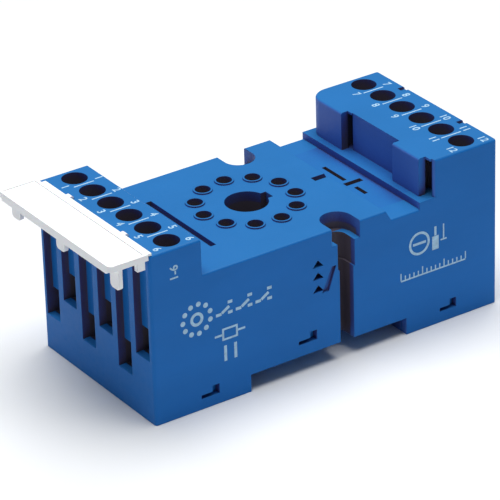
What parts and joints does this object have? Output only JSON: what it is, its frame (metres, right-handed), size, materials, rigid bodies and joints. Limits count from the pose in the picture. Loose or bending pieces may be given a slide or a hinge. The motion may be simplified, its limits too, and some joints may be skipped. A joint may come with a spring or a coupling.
{
  "type": "plug-in relay socket",
  "caption": "Rail-mounted socket for a plug-in relay, with box-clamp screw terminals at both ends, a clip-in base, a sprung rail latch and a tag holder.",
  "frame": {"origin": "middle of the rail seat, on the plane where the top of the rail bears", "axes": "+X along the socket towards the stepped terminal block, +Y across it, +Z out of the rail towards the relay"},
  "size_m": [0.0877, 0.0378, 0.0351],
  "materials": {
    "blue_housing": "satin moulded polyamide, fine spark texture",
    "blue_base": "satin moulded polyamide",
    "blue_latch": "satin moulded polyamide, polished where it slides",
    "spring_steel": "drawn spring wire",
    "white_tag": "smooth white plastic",
    "label_card": "blank matt marking strip",
    "screw_zinc": "zinc-plated steel, passivated",
    "cage_zinc": "zinc-plated steel",
    "contact_brass": "stamped and tin-flashed brass"
  },
  "bodies": {
    "housing": {"housing_cover": "blue_housing", "base_plate": "blue_base", "contact_strip_01": "contact_brass", "contact_strip_02": "contact_brass", "contact_strip_03": "contact_brass", "contact_strip_04": "contact_brass", "contact_strip_05": "contact_brass", "contact_strip_06": "contact_brass", "contact_strip_07": "contact_brass", "contact_strip_08": "contact_brass", "contact_strip_09": "contact_brass", "contact_strip_10": "contact_brass", "contact_strip_11": "contact_brass", "module_contact_1": "contact_brass", "module_contact_2": "contact_brass", "din_latch_spring": "spring_steel"},
    "rail_latch": {"din_latch": "blue_latch"},
    "tag": {"tag_holder": "white_tag", "tag_label": "label_card"},
    "screw_01": {"terminal_screw_01": "screw_zinc"},
    "cage_01": {"clamp_cage_01": "cage_zinc"},
    "screw_02": {"terminal_screw_02": "screw_zinc"},
    "cage_02": {"clamp_cage_02": "cage_zinc"},
    "screw_03": {"terminal_screw_03": "screw_zinc"},
    "cage_03": {"clamp_cage_03": "cage_zinc"},
    "screw_04": {"terminal_screw_04": "screw_zinc"},
    "cage_04": {"clamp_cage_04": "cage_zinc"},
    "screw_05": {"terminal_screw_05": "screw_zinc"},
    "cage_05": {"clamp_cage_05": "cage_zinc"},
    "screw_06": {"terminal_screw_06": "screw_zinc"},
    "cage_06": {"clamp_cage_06": "cage_zinc"},
    "screw_07": {"terminal_screw_07": "screw_zinc"},
    "cage_07": {"clamp_cage_07": "cage_zinc"},
    "screw_08": {"terminal_screw_08": "screw_zinc"},
    "cage_08": {"clamp_cage_08": "cage_zinc"},
    "screw_09": {"terminal_screw_09": "screw_zinc"},
    "cage_09": {"clamp_cage_09": "cage_zinc"},
    "screw_10": {"terminal_screw_10": "screw_zinc"},
    "cage_10": {"clamp_cage_10": "cage_zinc"},
    "screw_11": {"terminal_screw_11": "screw_zinc"},
    "cage_11": {"clamp_cage_11": "cage_zinc"},
    "screw_12": {"terminal_screw_12": "screw_zinc"},
    "cage_12": {"clamp_cage_12": "cage_zinc"}
  },
  "joints": [
    {"name": "screw_turn_01", "type": "hinge", "parent": "housing", "child": "screw_01", "pos_m": [-0.03245, 0.01535, 0.01005], "axis": [0, 0, -1], "range_deg": [0, 2810]},
    {"name": "cage_lift_01", "type": "slide", "parent": "housing", "child": "cage_01", "axis": [0, 0, 1], "range_m": [0, 0.0039]},
    {"name": "screw_turn_02", "type": "hinge", "parent": "housing", "child": "screw_02", "pos_m": [-0.03245, 0.00921, 0.0155], "axis": [0, 0, -1], "range_deg": [0, 2810]},
    {"name": "cage_lift_02", "type": "slide", "parent": "housing", "child": "cage_02", "axis": [0, 0, 1], "range_m": [0, 0.0039]},
    {"name": "screw_turn_03", "type": "hinge", "parent": "housing", "child": "screw_03", "pos_m": [-0.03245, 0.00307, 0.01005], "axis": [0, 0, -1], "range_deg": [0, 2810]},
    {"name": "cage_lift_03", "type": "slide", "parent": "housing", "child": "cage_03", "axis": [0, 0, 1], "range_m": [0, 0.0039]},
    {"name": "screw_turn_04", "type": "hinge", "parent": "housing", "child": "screw_04", "pos_m": [-0.03245, -0.00307, 0.0155], "axis": [0, 0, -1], "range_deg": [0, 2810]},
    {"name": "cage_lift_04", "type": "slide", "parent": "housing", "child": "cage_04", "axis": [0, 0, 1], "range_m": [0, 0.0039]},
    {"name": "screw_turn_05", "type": "hinge", "parent": "housing", "child": "screw_05", "pos_m": [-0.03245, -0.00921, 0.01005], "axis": [0, 0, -1], "range_deg": [0, 2810]},
    {"name": "cage_lift_05", "type": "slide", "parent": "housing", "child": "cage_05", "axis": [0, 0, 1], "range_m": [0, 0.0039]},
    {"name": "screw_turn_06", "type": "hinge", "parent": "housing", "child": "screw_06", "pos_m": [-0.03245, -0.01535, 0.0155], "axis": [0, 0, -1], "range_deg": [0, 2810]},
    {"name": "cage_lift_06", "type": "slide", "parent": "housing", "child": "cage_06", "axis": [0, 0, 1], "range_m": [0, 0.0039]},
    {"name": "screw_turn_07", "type": "hinge", "parent": "housing", "child": "screw_07", "pos_m": [0.033, 0.01535, 0.01005], "axis": [0, 0, -1], "range_deg": [0, 2810]},
    {"name": "cage_lift_07", "type": "slide", "parent": "housing", "child": "cage_07", "axis": [0, 0, 1], "range_m": [0, 0.0039]},
    {"name": "screw_turn_08", "type": "hinge", "parent": "housing", "child": "screw_08", "pos_m": [0.033, 0.00921, 0.0155], "axis": [0, 0, -1], "range_deg": [0, 2810]},
    {"name": "cage_lift_08", "type": "slide", "parent": "housing", "child": "cage_08", "axis": [0, 0, 1], "range_m": [0, 0.0039]},
    {"name": "screw_turn_09", "type": "hinge", "parent": "housing", "child": "screw_09", "pos_m": [0.033, 0.00307, 0.01005], "axis": [0, 0, -1], "range_deg": [0, 2810]},
    {"name": "cage_lift_09", "type": "slide", "parent": "housing", "child": "cage_09", "axis": [0, 0, 1], "range_m": [0, 0.0039]},
    {"name": "screw_turn_10", "type": "hinge", "parent": "housing", "child": "screw_10", "pos_m": [0.033, -0.00307, 0.0155], "axis": [0, 0, -1], "range_deg": [0, 2810]},
    {"name": "cage_lift_10", "type": "slide", "parent": "housing", "child": "cage_10", "axis": [0, 0, 1], "range_m": [0, 0.0039]},
    {"name": "screw_turn_11", "type": "hinge", "parent": "housing", "child": "screw_11", "pos_m": [0.033, -0.00921, 0.01005], "axis": [0, 0, -1], "range_deg": [0, 2810]},
    {"name": "cage_lift_11", "type": "slide", "parent": "housing", "child": "cage_11", "axis": [0, 0, 1], "range_m": [0, 0.0039]},
    {"name": "screw_turn_12", "type": "hinge", "parent": "housing", "child": "screw_12", "pos_m": [0.033, -0.01535, 0.0155], "axis": [0, 0, -1], "range_deg": [0, 2810]},
    {"name": "cage_lift_12", "type": "slide", "parent": "housing", "child": "cage_12", "axis": [0, 0, 1], "range_m": [0, 0.0039]},
    {"name": "rail_latch_slide", "type": "slide", "parent": "housing", "child": "rail_latch", "axis": [1, 0, 0], "range_m": [0, 0.0025], "stiffness_N_per_m": 600, "springref_m": -0.004, "deforming": ["din_latch_spring"]},
    {"name": "tag_lift", "type": "hinge", "parent": "housing", "child": "tag", "pos_m": [-0.03735, 0, 0.03105], "axis": [0, 1, 0], "range_deg": [0, 90]}
  ],
  "couplings": [
    {"joint": "screw_turn_01", "follows": "cage_lift_01", "rad_per_m": 12566},
    {"joint": "screw_turn_02", "follows": "cage_lift_02", "rad_per_m": 12566},
    {"joint": "screw_turn_03", "follows": "cage_lift_03", "rad_per_m": 12566},
    {"joint": "screw_turn_04", "follows": "cage_lift_04", "rad_per_m": 12566},
    {"joint": "screw_turn_05", "follows": "cage_lift_05", "rad_per_m": 12566},
    {"joint": "screw_turn_06", "follows": "cage_lift_06", "rad_per_m": 12566},
    {"joint": "screw_turn_07", "follows": "cage_lift_07", "rad_per_m": 12566},
    {"joint": "screw_turn_08", "follows": "cage_lift_08", "rad_per_m": 12566},
    {"joint": "screw_turn_09", "follows": "cage_lift_09", "rad_per_m": 12566},
    {"joint": "screw_turn_10", "follows": "cage_lift_10", "rad_per_m": 12566},
    {"joint": "screw_turn_11", "follows": "cage_lift_11", "rad_per_m": 12566},
    {"joint": "screw_turn_12", "follows": "cage_lift_12", "rad_per_m": 12566}
  ]
}
